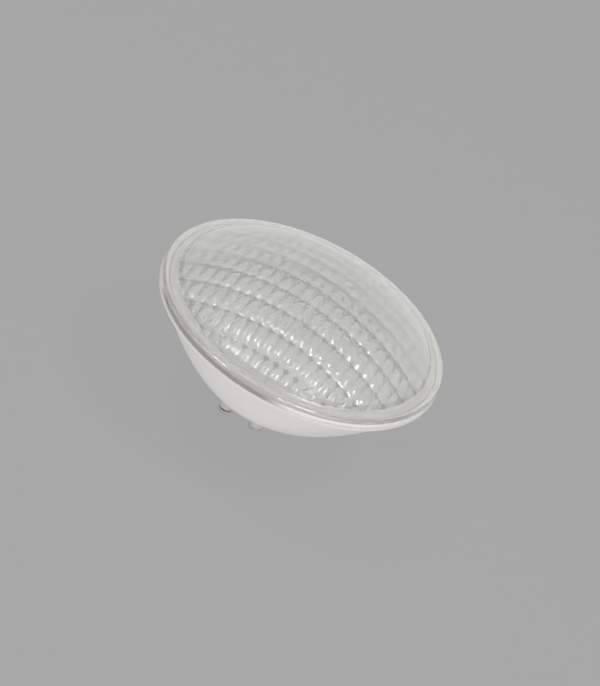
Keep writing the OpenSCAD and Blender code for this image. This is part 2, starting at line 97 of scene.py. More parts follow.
def tint(name, description, default):
    """A colour for the sidebar."""
    return FloatVectorProperty(name=name, description=description, default=default, subtype="COLOR",
                               size=3, min=0.0, max=1.0)


class LensSizes(bpy.types.PropertyGroup):
    dome_radius: length("Dome radius", "Radius of the domed field at its edge", 78.5 * MM)
    dome_edge: length("Dome edge", "Height of the dome's edge above the flange's rear face", 10.0 * MM)
    bore_radius: length("Bore radius", "Inside radius of the clear rim, where the flutes end", 79.2 * MM)
    rim_top: length("Rim top", "Height of the clear rim's rounded edge", 7.4 * MM)
    edge_round: length("Edge rounding", "Rounding of the clear rim's front edge", 1.8 * MM)
    joint_chamfer: length("Joint chamfer", "Chamfer where the rim meets the flange", 0.4 * MM)
    joint_band: length("Joint band", "Height of the bonded line at the rim's foot", 2.7 * MM)
    # The joint line is dark round this direction: a dark joint, partly painted shade of its gap. Away from it the
    # line is painted pale, a painted highlight of the lamps on the rim's wall.
    dark_side_at: turn("Dark side at", "Direction in which the bonded line runs thin and dark", 249.0)
    dark_side_spread: turn("Dark side spread", "How far to each side the bonded line stays dark", 26.0)
    highlight_spread: turn("Highlight spread", "How far to each side the bonded line turns pale", 40.0)
    seat_gap: length("Seat gap", "Air between the lens's foot and the flange", 0.1 * MM)
    wall: length("Wall", "Thickness of the dome between the flutes", 3.4 * MM)
    flute_pitch: length("Flute pitch", "Width of one flute", 6.77 * MM)
    row_pitch: length("Row pitch", "Length of one flute, from row to row", 15.0 * MM)
    flute_depth: length("Flute depth", "How deep a flute is hollowed", 1.2 * MM)
    riser: length("Riser", "Length of the steep end between two rows", 0.2 * MM)
    near_round: length("Near rounding", "How far a flute's near end is rounded", 5.6 * MM)
    arch_cut: length("Arch cut", "How much of the arched far end the riser cuts off", 1.2 * MM)
    arch_stretch: FloatProperty(name="Arch stretch", description="Length of the arched far end, 1 is round",
                                default=1.8, min=0.5)
    columns: IntProperty(name="Columns", description="Flutes across the field, an even number", default=26, min=2)
    rows: IntProperty(name="Rows", description="Rows of flutes, an odd number", default=11, min=3)


class ShellSizes(bpy.types.PropertyGroup):
    bowl_radius: length("Bowl radius", "Outside radius of the bowl at the flange", 86.4 * MM)
    bowl_depth: length("Bowl depth", "Depth of the bowl behind the flange", 54.7 * MM)
    floor_radius: length("Floor radius", "Radius of the flat at the back of the bowl", 22.2 * MM)
    bowl_power: FloatProperty(name="Bowl fullness", description="Larger is rounder", default=1.7, min=1.0)
    wall: length("Wall", "Wall of the shell", 2.6 * MM)
    lip_round: length("Lip rounding", "Rounding of the flange's outer edges", 0.35 * MM)
    plinth_radius: length("Plinth radius", "Half the width of the oblong plinth", 7.5 * MM)
    plinth_end: length("Plinth end", "Height of the plinth's end face", -66.0 * MM)
    boss_radius: length("Boss radius", "Radius of a terminal boss", 4.6 * MM)
    boss_round: length("Boss rounding", "Rounding of a boss's end", 0.8 * MM)
    bush_bore: length("Bush bore", "Radius of the bore that holds a terminal bush", 3.05 * MM)
    post_circle: length("Post circle", "Radius of the circle of posts under the light board", 62.0 * MM)
    post_radius: length("Post radius", "Radius of one of those posts", 4.5 * MM)
    post_top: length("Post top", "Height of those posts' ends", -9.1 * MM)


class TerminalSizes(bpy.types.PropertyGroup):
    head_radius: length("Head radius", "Radius of a terminal screw's head", 4.0 * MM)
    head_height: length("Head height", "Height of a terminal screw's head", 2.6 * MM)
    slot_width: length("Slot width", "Width of the driver slot", 1.2 * MM)
    slot_depth: length("Slot depth", "Depth of the driver slot", 1.2 * MM)
    thread_radius: length("Thread radius", "Outside radius of the screw's thread", 2.0 * MM)
    thread_pitch: length("Thread pitch", "Distance from one thread to the next", 0.7 * MM)
    thread_depth: length("Thread depth", "Depth of the thread", 0.28 * MM)
    edge_round: length("Edge rounding", "Rounding of heads and washers", 0.2 * MM)


class Finishes(bpy.types.PropertyGroup):
    lens: tint("Lens", "Colour of the clear lens", (0.975, 0.985, 0.975))
    rim: tint("Rim", "Colour of the clear rim", (0.83, 0.82, 0.805))
    flutes: tint("Flutes", "Colour of the frosted flutes", (0.64, 0.642, 0.623))
    # Painted shade: the corners between the flutes are coloured dark, standing in for the dark that the flutes'
    # shape leaves there.
    recess_shade: tint("Painted recess shade", "Colour of the corners between the flutes", (0.26, 0.263, 0.255))
    # The joint's dark colour is partly painted shade of its gap; the pale colour below is a painted highlight of
    # the lamps on the rim's wall.
    joint: tint("Joint", "Colour of the bonded line where it is thin", (0.36, 0.353, 0.34))
    joint_highlight: tint("Joint highlight", "Colour of the bonded line where it is full", (0.92, 0.915, 0.90))
    shell: tint("Shell", "Colour of the white shell", (0.80, 0.79, 0.765))
    # The white pieces behind the lens are coloured grey: painted shade for the light that the lens holds back from
    # them.
    inside: tint("Inside", "Colour of the white pieces behind the lens", (0.61, 0.61, 0.592))
    steel: tint("Steel", "Colour of the terminal screws and washers", (0.88, 0.88, 0.87))
    background: tint("Background", "Colour of the floor as the camera sees it", (0.386, 0.381, 0.386))


class StageSizes(bpy.types.PropertyGroup):
    camera_distance: length("Camera distance", "Distance from the camera to the flange's centre", 1.5)
    camera_azimuth: turn("Azimuth", "Turn of the camera round the lamp", 7.0)
    camera_elevation: turn("Elevation", "Height of the camera above the flange's plane", 33.18)
    camera_roll: turn("Roll", "Turn of the camera about its own axis", 28.39)
    camera_lens: FloatProperty(name="Focal length", description="Focal length over a 36 mm side, in mm",
                               default=134.9, min=1.0)
    aside: length("Aside", "How far the camera stands to the left of the flange's centre", 0.48 * MM)
    below: length("Below", "How far the camera stands below the flange's centre", 10.28 * MM)


class PoolLight(bpy.types.PropertyGroup):
    lens: PointerProperty(type=LensSizes)
    shell: PointerProperty(type=ShellSizes)
    terminal: PointerProperty(type=TerminalSizes)
    finish: PointerProperty(type=Finishes)
    stage: PointerProperty(type=StageSizes)


# Modelling


def start(obj=None):
    """Leaves edit mode with nothing selected, or with one object selected and active."""
    if bpy.context.mode != "OBJECT":
        bpy.ops.object.mode_set(mode="OBJECT")
    bpy.ops.object.select_all(action="DESELECT")
    if obj is not None:
        obj.select_set(True)
        bpy.context.view_layer.objects.active = obj


def edit(obj):
    """Opens an object in edit mode with nothing selected."""
    start(obj)
    bpy.ops.object.mode_set(mode="EDIT")
    bpy.ops.mesh.select_mode(type="VERT")
    bpy.ops.mesh.select_all(action="DESELECT")


def pick(obj, test):
    """Selects the vertices whose place passes a test, in edit mode."""
    bpy.ops.mesh.select_all(action="DESELECT")
    bpy.ops.object.mode_set(mode="OBJECT")
    for vertex in obj.data.vertices:
        vertex.select = test(vertex.co)
    bpy.ops.object.mode_set(mode="EDIT")
    bpy.ops.mesh.select_mode(type="VERT")


def arc(centre, radius, first, last, steps):
    """Points of an arc in the profile's plane, by angles in degrees."""
    angles = [math.radians(first + (last - first) * i / steps) for i in range(steps + 1)]
    return [(centre[0] + radius * math.cos(a), centre[1] + radius * math.sin(a)) for a in angles]


def eased(before, corner, after, steps=5):
    """Points of a smooth bend from one point to another round a corner."""
    points = []
    for i in range(steps + 1):
        t = i / steps
        a, b, c = (1 - t) ** 2, 2 * t * (1 - t), t ** 2
        points.append(tuple(a * p + b * q + c * r for p, q, r in zip(before, corner, after)))
    return points


def dome(ball_radius, ball_z, reach, steps):
    """Points along a ball from its top out to a radius."""
    radii = [reach * i / steps for i in range(steps + 1)]
    return [(r, ball_z + math.sqrt(ball_radius ** 2 - r ** 2)) for r in radii]


def bowl(mouth, depth, sizes, steps=56):
    """Points along the bowl from its floor out to its mouth."""
    floor = sizes.floor_radius
    return [(floor + (mouth - floor) * i / steps, -depth * (1 - (i / steps) ** sizes.bowl_power))
            for i in range(steps + 1)]


def lathe(name, points, steps):
    """Draws a half outline point by point and spins it about the lamp's axis into a closed solid."""
    start()
    bpy.ops.mesh.primitive_plane_add(size=MM)
    obj = bpy.context.object
    obj.name = obj.data.name = name
    bpy.ops.object.mode_set(mode="EDIT")
    bpy.ops.mesh.select_mode(type="VERT")
    bpy.ops.mesh.select_all(action="SELECT")
    bpy.ops.mesh.merge(type="CENTER")
    bpy.ops.transform.translate(value=(points[0][0], 0, points[0][1]))
    for (r0, z0), (r1, z1) in zip(points, points[1:]):
        bpy.ops.mesh.extrude_vertices_move(TRANSFORM_OT_translate={"value": (r1 - r0, 0, z1 - z0)})
    bpy.ops.mesh.select_all(action="SELECT")
    bpy.ops.mesh.spin(steps=steps, angle=2 * math.pi, center=(0, 0, 0), axis=(0, 0, 1))
    bpy.ops.mesh.select_all(action="SELECT")
    bpy.ops.mesh.remove_doubles(threshold=WELD)
    bpy.ops.mesh.normals_make_consistent(inside=False)
    bpy.ops.object.mode_set(mode="OBJECT")
    return obj


def bar(name, place, radius, bottom, top, sides=32):
    """Round bar along the lamp's axis, to join to a piece or to cut it."""
    start()
    bpy.ops.mesh.primitive_cylinder_add(vertices=sides, radius=radius, depth=top - bottom,
                                        location=(place[0], place[1], (bottom + top) / 2))
    obj = bpy.context.object
    obj.name = obj.data.name = name
    bpy.ops.object.transform_apply(location=True, rotation=True, scale=True)
    return obj


def shift(obj, offset):
    """Moves a mesh and leaves its object at the origin."""
    edit(obj)
    bpy.ops.mesh.select_all(action="SELECT")
    bpy.ops.transform.translate(value=offset)
    bpy.ops.object.mode_set(mode="OBJECT")
    return obj


def spread(obj, gap):
    """Pulls the two halves of a turned piece apart along the line of the terminals, so that it becomes oblong."""
    edit(obj)
    for side in (-1, 1):
        pick(obj, lambda co: co.x * side > NEAR)
        bpy.ops.transform.translate(value=(side * gap / 2, 0, 0))
    bpy.ops.object.mode_set(mode="OBJECT")
    return obj


def joined(objects):
    """One object from several that stand apart."""
    start(objects[0])
    for obj in objects:
        obj.select_set(True)
    bpy.ops.object.join()
    return bpy.context.object


def combine(obj, other, operation):
    """Unites, cuts or intersects an object with another, which is used up."""
    start(obj)
    tool = obj.modifiers.new("Combine", "BOOLEAN")
    tool.operation = operation
    tool.solver = "MANIFOLD"
    tool.object = other
    bpy.ops.object.modifier_apply(modifier=tool.name)
    if not obj.data.polygons:
        raise RuntimeError(f"{obj.name} came out empty")
    bpy.data.objects.remove(other)
    return obj


def repeat(obj, count, offset):
    """Row of copies of a mesh, merged where they meet."""
    start(obj)
    row = obj.modifiers.new("Row", "ARRAY")
    row.count = count
    row.use_relative_offset = False
    row.use_constant_offset = True
    row.constant_offset_displace = offset
    row.use_merge_vertices = True
    row.merge_threshold = ROW_WELD
    bpy.ops.object.modifier_apply(modifier=row.name)


def present(obj, name, body, material, nodes, angle=30.0):
    """Shades a finished piece and says what it stands for and what it rides on."""
    start(obj)
    bpy.ops.object.shade_smooth_by_angle(angle=math.radians(angle))
    obj.name = obj.data.name = name
    obj.data.materials.clear()
    obj.data.materials.append(material)
    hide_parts(*nodes)
    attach(obj, body)


# Finishes


def maths(tree, operation, *values):
    """Result of one calculation on sockets and plain numbers."""
    node = tree.nodes.new("ShaderNodeMath")
    node.operation = operation
    for socket, value in zip(node.inputs, values):
        if isinstance(value, bpy.types.NodeSocket):
            tree.links.new(value, socket)
        else:
            socket.default_value = value
    return node.outputs["Value"]


def scaled(tree, colour, factor):
    """Colour made lighter or darker by a factor."""
    node = tree.nodes.new("ShaderNodeVectorMath")
    node.operation = "SCALE"
    tree.links.new(colour, node.inputs[0])
    tree.links.new(factor, node.inputs["Scale"])
    return node.outputs["Vector"]


def smooth_mask(tree, value, zero_at, one_at):
    """Mask that eases from zero to one as a value passes from one mark to another."""
    node = tree.nodes.new("ShaderNodeMapRange")
    node.interpolation_type = "SMOOTHSTEP"
    node.inputs["From Min"].default_value = zero_at
    node.inputs["From Max"].default_value = one_at
    tree.links.new(value, node.inputs["Value"])
    return node.outputs["Result"]


def bumped(tree, height, distance):
    """Bump node on a height, with the size of its steps in metres."""
    node = tree.nodes.new("ShaderNodeBump")
    node.inputs["Distance"].default_value = distance
    tree.links.new(height, node.inputs["Height"])
    return node


def mix_out(tree, factor, first, second, output="Material Output"):
    """Sends a mix of two shaders to the output, the second where a factor is one."""
    mix = tree.nodes.new("ShaderNodeMixShader")
    for value, socket in zip((factor, first, second), mix.inputs):
        tree.links.new(value, socket)
    tree.links.new(mix.outputs["Shader"], tree.nodes[output].inputs["Surface"])


def open_group(name, numbers):
    """Empty node group that takes a place, a colour and some numbers, and its two ends."""
    group = bpy.data.node_groups.new(name, "ShaderNodeTree")
    sockets = group.interface
    sockets.new_socket("Vector", in_out="INPUT", socket_type="NodeSocketVector")
    sockets.new_socket("Color", in_out="INPUT", socket_type="NodeSocketColor")
    for label, value in numbers.items():
        sockets.new_socket(label, in_out="INPUT", socket_type="NodeSocketFloat").default_value = value
    for label, kind in (("Color", "Color"), ("Roughness", "Float"), ("Normal", "Vector")):
        sockets.new_socket(label, in_out="OUTPUT", socket_type=f"NodeSocket{kind}")
    return group, group.nodes.new("NodeGroupInput").outputs, group.nodes.new("NodeGroupOutput").inputs


def surface_group():
    """Node group that varies a finish over a surface: slow drift of colour and polish, and fine moulded grain."""
    name = "Surface variation"
    if name in bpy.data.node_groups:
        return bpy.data.node_groups[name]
    group, given, put = open_group(name, {"Roughness": 0.4, "Drift": 0.05, "Drift Scale": 30.0,
                                          "Grain Scale": 900.0, "Grain Height": 0.02})
    link = group.links.new
    mean, polish_share = 0.5, 0.25  # middle of the noise, share of its swing that changes the polish
    drift, grain = (group.nodes.new("ShaderNodeTexNoise") for _ in range(2))
    for noise, label, detail in ((drift, "Drift Scale", 4.0), (grain, "Grain Scale", 2.0)):
        noise.inputs["Detail"].default_value = detail
        link(given["Vector"], noise.inputs["Vector"])
        link(given[label], noise.inputs["Scale"])
    centred = maths(group, "SUBTRACT", drift.outputs["Fac"], mean)
    swing = maths(group, "MULTIPLY_ADD", centred, given["Drift"], 1.0)
    link(scaled(group, given["Color"], swing), put["Color"])
    polish = maths(group, "MULTIPLY_ADD", centred, polish_share, given["Roughness"])
    polish.node.use_clamp = True
    link(polish, put["Roughness"])
    bump = bumped(group, grain.outputs["Fac"], distance=0.2 * MM)
    link(given["Grain Height"], bump.inputs["Strength"])
    link(bump.outputs["Normal"], put["Normal"])
    return group


def turned_group():
    """Node group of fine rings left by a lathe, about a given axis."""
    name = "Turning marks"
    if name in bpy.data.node_groups:
        return bpy.data.node_groups[name]
    group, given, put = open_group(name, {"Roughness": 0.3})
    link = group.links.new
    ring_polish, ring_height = 0.12, 0.12  # how strongly the rings show in the polish and in the height
    rings = group.nodes.new("ShaderNodeTexWave")
    rings.wave_type = "RINGS"
    rings.rings_direction = "Z"
    for label, value in (("Scale", 900.0), ("Distortion", 2.0), ("Detail", 2.0)):
        rings.inputs[label].default_value = value
    link(given["Vector"], rings.inputs["Vector"])
    stain, level = group.nodes.new("ShaderNodeTexNoise"), group.nodes.new("ShaderNodeMapRange")
    stain.inputs["Scale"].default_value = 350.0
    link(given["Vector"], stain.inputs["Vector"])
    level.inputs["To Min"].default_value = 0.78
    level.inputs["To Max"].default_value = 1.06
    link(stain.outputs["Fac"], level.inputs["Value"])
    link(scaled(group, given["Color"], level.outputs["Result"]), put["Color"])
    polish = maths(group, "MULTIPLY_ADD", rings.outputs["Fac"], ring_polish, given["Roughness"])
    link(polish, put["Roughness"])
    bump = bumped(group, rings.outputs["Fac"], distance=0.1 * MM)
    bump.inputs["Strength"].default_value = ring_height
    link(bump.outputs["Normal"], put["Normal"])
    return group


def blank_material(name):
    """New material, its nodes and its Principled shader, wired to nothing yet."""
    material = bpy.data.materials.new(name)
    material.use_nodes = True
    return material, material.node_tree, material.node_tree.nodes["Principled BSDF"]


def place_group(tree, group, colour, numbers, offset=(0.0, 0.0, 0.0)):
    """Puts a node group in a material with its own values, placed about a point of the piece."""
    node, place, centre = (tree.nodes.new(kind) for kind in
                           ("ShaderNodeGroup", "ShaderNodeTexCoord", "ShaderNodeMapping"))
    node.node_tree = group
    node.inputs["Color"].default_value = (*colour, 1.0)
    for label, value in numbers.items():
        node.inputs[label].default_value = value
    centre.inputs["Location"].default_value = offset
    tree.links.new(place.outputs["Object"], centre.inputs["Vector"])
    tree.links.new(centre.outputs["Vector"], node.inputs["Vector"])
    return node


def wire(tree, group, shader, labels=("Color", "Roughness", "Normal")):
    """Lets a node group drive a shader's colour, roughness and normal, or some of them."""
    for label in labels:
        socket = "Base Color" if label == "Color" else label
        tree.links.new(group.outputs[label], shader.inputs[socket])


def varied(name, colour, roughness, metallic=0.0, drift=0.06, drift_scale=30.0, grain_scale=900.0,
           grain_height=0.05, coat=0.0):
    """Material of one moulded, cast or coated stuff."""
    material, tree, shader = blank_material(name)
    group = place_group(tree, surface_group(), colour, {
        "Roughness": roughness, "Drift": drift, "Drift Scale": drift_scale,
        "Grain Scale": grain_scale, "Grain Height": grain_height})
    shader.inputs["Metallic"].default_value = metallic
    shader.inputs["Coat Weight"].default_value = coat
    wire(tree, group, shader)
    return material


def turned(name, colour, roughness, axis_x):
    """Bright turned metal with rings about a terminal's axis."""
    material, tree, shader = blank_material(name)
    group = place_group(tree, turned_group(), colour, {"Roughness": roughness}, (-axis_x, 0.0, 0.0))
    shader.inputs["Metallic"].default_value = 1.0
    wire(tree, group, shader)
    return material


def clear_plastic(name, colour, roughness, clearness, grain_height, bloom=0.0):
    """Clear moulded plastic that lets the lamps through to what lies behind it."""
    let_through = (0.90, 0.905, 0.90, 1.0)  # what is left of a lamp's light behind it
    material, tree, shader = blank_material(name)
    group = place_group(tree, surface_group(), colour, {
        "Drift": 0.02, "Drift Scale": 40.0, "Grain Scale": 120.0, "Grain Height": grain_height})
    for label, value in (("Transmission Weight", clearness), ("IOR", 1.58), ("Roughness", roughness),
                         ("Sheen Weight", bloom), ("Sheen Roughness", 0.8)):
        shader.inputs[label].default_value = value
    wire(tree, group, shader, ("Color", "Normal"))
    path, through = tree.nodes.new("ShaderNodeLightPath"), tree.nodes.new("ShaderNodeBsdfTransparent")
    through.inputs["Color"].default_value = let_through
    mix_out(tree, path.outputs["Is Shadow Ray"], shader.outputs["BSDF"], through.outputs["BSDF"])
    return material


def tint_where(material, factor, colour):
    """Gives a material another colour where a factor is one."""
    nodes, link = material.node_tree.nodes, material.node_tree.links.new
    base, tone = nodes["Principled BSDF"].inputs["Base Color"], nodes.new("ShaderNodeMix")
    tone.data_type = "RGBA"
    link(factor, tone.inputs["Factor"])
    link(base.links[0].from_socket, tone.inputs["A"])
    tone.inputs["B"].default_value = (*colour, 1.0)
    link(tone.outputs["Result"], base)


INSIDE_FINISHES = {
    "clear_silicone": dict(colour=(0.72, 0.715, 0.70), roughness=0.45),
    "adhesive": dict(colour=(0.66, 0.65, 0.635), roughness=0.4),
    "thermal_grey": dict(colour=(0.30, 0.33, 0.37), roughness=0.8, grain_height=0.3),
    "sink_aluminium": dict(colour=(0.70, 0.71, 0.72), roughness=0.38, metallic=1.0, grain_scale=600.0),
    "fixing_steel": dict(colour=(0.60, 0.61, 0.62), roughness=0.3, metallic=1.0),
    "connector_white": dict(colour=(0.76, 0.75, 0.70), roughness=0.5),
    "grommet_rubber": dict(colour=(0.03, 0.03, 0.032), roughness=0.7, grain_height=0.2),
    "lead_white": dict(colour=(0.74, 0.74, 0.72), roughness=0.45),
    "lead_grey": dict(colour=(0.50, 0.50, 0.49), roughness=0.45),
    "lead_brown": dict(colour=(0.13, 0.055, 0.025), roughness=0.45),
    "lead_blue": dict(colour=(0.03, 0.09, 0.34), roughness=0.45),
    "driver_laminate": dict(colour=(0.02, 0.13, 0.055), roughness=0.35, drift=0.2, drift_scale=200.0, coat=0.3),
    "black_epoxy": dict(colour=(0.03, 0.03, 0.033), roughness=0.55, grain_height=0.2),
    "capacitor_sleeve": dict(colour=(0.03, 0.045, 0.13), roughness=0.3),
    "ferrite": dict(colour=(0.07, 0.07, 0.075), roughness=0.6, grain_height=0.2),
    "copper_wire": dict(colour=(0.62, 0.25, 0.10), roughness=0.25, metallic=1.0, coat=0.5),
    "terminal_brass": dict(colour=(0.72, 0.53, 0.23), roughness=0.28, metallic=1.0),
}


class POOLLIGHT_OT_lens(bpy.types.Operator):
    """Model the clear lens with its fluted inside"""

    bl_idname = "pool_light.lens"
    bl_label = "Lens"

    girth = 1.06  # reach of a flute's hollow, over half its width
    hollow_depth = 70 * MM  # how far the space under the dome reaches down
    bore_ends = (-50 * MM, 60 * MM)  # heights between which the bore is cut
    blend = 1.0 * MM  # half the width of the bend between dome and shoulder
    face_inset = 0.6 * MM  # how far the hazed face stays inside the dome's edge
    field_inset = 0.05 * MM  # how far the frosted field stays inside the bore
    shade_depth_marks = (0.12, 0.01)  # where the painted shade in a recess begins and is full, as shares of a flute's depth
    shade_width_marks = (0.45, 0.20)  # where the painted shade in a corner begins and is full, as shares of a flute's width

    def one_flute(self, sizes):
        """Hollow flute with a rounded near end and an arched far end that a short riser cuts off."""
        half, reach = sizes.flute_pitch / 2, sizes.row_pitch - sizes.riser
        girth, far = self.girth * half, (reach / 2 + sizes.arch_cut) / sizes.arch_stretch
        origin = (0, 0, 0)
        start()
        bpy.ops.mesh.primitive_grid_add(x_subdivisions=6, y_subdivisions=12, size=1.0)
        flute = bpy.context.object
        bpy.ops.object.mode_set(mode="EDIT")
        bpy.ops.mesh.select_mode(type="VERT")
        bpy.ops.mesh.select_all(action="SELECT")
        bpy.ops.transform.resize(value=(sizes.flute_pitch, reach / sizes.arch_stretch, 1),
                                 center_override=origin)
        pick(flute, lambda co: abs(co.x) < NEAR and co.y < far - girth + NEAR)
        bpy.ops.transform.translate(value=(0, 0, sizes.flute_depth), use_proportional_edit=True,
                                    proportional_edit_falloff="INVERSE_SQUARE", proportional_size=girth)
        bpy.ops.mesh.select_all(action="SELECT")
        bpy.ops.transform.resize(value=(1, sizes.arch_stretch, 1), center_override=origin)
        pick(flute, lambda co: co.y < NEAR - reach / 2)
        bpy.ops.transform.resize(value=(1, 1, 0), center_override=origin, use_proportional_edit=True,
                                 proportional_edit_falloff="SHARP", proportional_size=sizes.near_round)
        pick(flute, lambda co: co.y > reach / 2 - NEAR)
        bpy.ops.mesh.extrude_region_move(TRANSFORM_OT_translate={"value": (0, sizes.riser, 0)})
        bpy.ops.transform.resize(value=(1, 1, 0), center_override=origin)
        bpy.ops.object.mode_set(mode="OBJECT")
        return shift(flute, (0, -sizes.riser / 2, 0))

    def hollow(self, sizes, ball_radius, ball_z):
        """Space under the dome, with the flutes on its top."""
        field = self.one_flute(sizes)
        repeat(field, sizes.columns, (sizes.flute_pitch, 0, 0))
        repeat(field, sizes.rows, (0, sizes.row_pitch, 0))
        shift(field, ((1 - sizes.columns) * sizes.flute_pitch / 2,
                      (1 - sizes.rows) * sizes.row_pitch / 2 + sizes.riser / 2, 0))
        edit(field)
        pick(field, lambda co: co.xy.length < 2 * NEAR)
        land = ball_radius - sizes.wall
        bpy.ops.transform.translate(value=(0, 0, land), use_proportional_edit=True,
                                    proportional_edit_falloff="SPHERE", proportional_size=land)
        bpy.ops.mesh.select_all(action="SELECT")
        bpy.ops.transform.translate(value=(0, 0, ball_z))
        bpy.ops.mesh.extrude_region_move(TRANSFORM_OT_translate={"value": (0, 0, -self.hollow_depth)})
        bpy.ops.mesh.select_all(action="SELECT")
        bpy.ops.mesh.normals_make_consistent(inside=False)
        bpy.ops.object.mode_set(mode="OBJECT")
        return combine(field, bar("bore", (0, 0), sizes.bore_radius, *self.bore_ends, sides=ROUND), "INTERSECT")

    def frosted(self, sizes, finish, ball_radius, ball_z):
        """Slightly frosted flutes, with painted shade in the corners where the plain dome is left between two of
        them.
        """
        material = clear_plastic("Frosted flutes", finish.flutes, roughness=0.15, clearness=0.85,
                                 grain_height=0.02)
        tree = material.node_tree
        place, away, split = (tree.nodes.new(kind) for kind in
                              ("ShaderNodeTexCoord", "ShaderNodeVectorMath", "ShaderNodeSeparateXYZ"))
        away.operation = "DISTANCE"
        away.inputs[1].default_value = (0.0, 0.0, ball_z)
        tree.links.new(place.outputs["Object"], away.inputs[0])
        tree.links.new(place.outputs["Object"], split.inputs["Vector"])
        land = ball_radius - sizes.wall
        marks = (land + share * sizes.flute_depth for share in self.shade_depth_marks)
        recess_shade = smooth_mask(tree, away.outputs["Value"], *marks)
        aside = maths(tree, "PINGPONG", split.outputs["X"], sizes.flute_pitch / 2)
        corner = smooth_mask(tree, aside, *(share * sizes.flute_pitch for share in self.shade_width_marks))
        # Painted shade: the plain corners between the flutes are darkened in colour.
        tint_where(material, maths(tree, "MULTIPLY", recess_shade, corner), finish.recess_shade)
        return material

    def bonded(self, sizes, finish):
        """Dark joint line at the rim's foot, partly painted shade of its gap, which turns pale towards one side as
        a painted highlight of the lamps on the rim's wall.
        """
        material = varied("Bonded line with painted highlight", finish.joint, roughness=0.25, grain_scale=400.0)
        tree = material.node_tree
        place, along = tree.nodes.new("ShaderNodeTexCoord"), tree.nodes.new("ShaderNodeVectorMath")
        along.operation = "DOT_PRODUCT"
        along.inputs[1].default_value = (math.cos(sizes.dark_side_at), math.sin(sizes.dark_side_at), 0.0)
        tree.links.new(place.outputs["Object"], along.inputs[0])
        # Painted highlight: the line turns pale away from its dark side, where the lamps would light the rim's
        # wall.
        full = smooth_mask(tree, along.outputs["Value"], LENS_HIGH.x * math.cos(sizes.dark_side_spread),
                           LENS_HIGH.x * math.cos(sizes.highlight_spread))
        tint_where(material, full, finish.joint_highlight)
        return material

    def give(self, lens, material, test):
        """Gives the faces whose middle passes a test their own finish."""
        lens.data.materials.append(material)
        edit(lens)
        bpy.ops.mesh.select_mode(type="FACE")
        bpy.ops.object.mode_set(mode="OBJECT")
        for face in lens.data.polygons:
            face.select = test(face.center)
        bpy.ops.object.mode_set(mode="EDIT")
        lens.active_material_index = len(lens.data.materials) - 1
        bpy.ops.object.material_slot_assign()
        bpy.ops.object.mode_set(mode="OBJECT")

    def execute(self, context):
        sizes, finish = context.scene.pool_light.lens, context.scene.pool_light.finish
        rise = LENS_HIGH.z - sizes.dome_edge
        ball_radius = (sizes.dome_radius ** 2 + rise ** 2) / (2 * rise)
        ball_z = LENS_HIGH.z - ball_radius
        outer, top, bend = LENS_HIGH.x, sizes.rim_top, sizes.edge_round
        foot = LENS_LOW.z + sizes.seat_gap
        dome_points = dome(ball_radius, ball_z, sizes.dome_radius - self.blend, steps=44)
        drop = (sizes.dome_edge - top) * self.blend / (outer - bend - sizes.dome_radius)
        shoulder = (sizes.dome_radius + self.blend, sizes.dome_edge - drop)
        profile = [
            *dome_points,
            *eased(dome_points[-1], (sizes.dome_radius, sizes.dome_edge), shoulder)[1:],
            *arc((outer - bend, top - bend), bend, 90, 0, steps=8),
            (outer, foot + sizes.joint_band),
            (outer, foot + sizes.joint_chamfer),
            (outer - sizes.joint_chamfer, foot),
            (0.0, foot),
        ]
        lens = lathe("lens", profile, ROUND)
        combine(lens, self.hollow(sizes, ball_radius, ball_z), "DIFFERENCE")
        rim = clear_plastic("Clear rim", finish.rim, roughness=0.05, clearness=0.78, grain_height=0.008)
        present(lens, "fluted_lens", "lamp", rim, ["front_lens"], angle=24)
        middle, half_way = Vector((0, 0, ball_z)), ball_radius - sizes.wall / 2
        face_reach, field_reach = sizes.dome_radius - self.face_inset, sizes.bore_radius - self.field_inset
        band_reach, band_top = outer - sizes.joint_chamfer, foot + sizes.joint_band
        face = clear_plastic("Hazed dome", finish.lens, roughness=0.16, clearness=0.95, grain_height=0.008,
                             bloom=0.6)
        self.give(lens, face, lambda co: co.xy.length < face_reach and (co - middle).length > half_way)
        self.give(lens, self.bonded(sizes, finish), lambda co: co.xy.length > band_reach and co.z < band_top)
        self.give(lens, self.frosted(sizes, finish, ball_radius, ball_z),
                  lambda co: co.xy.length < field_reach and (co - middle).length < half_way)
        return {"FINISHED"}


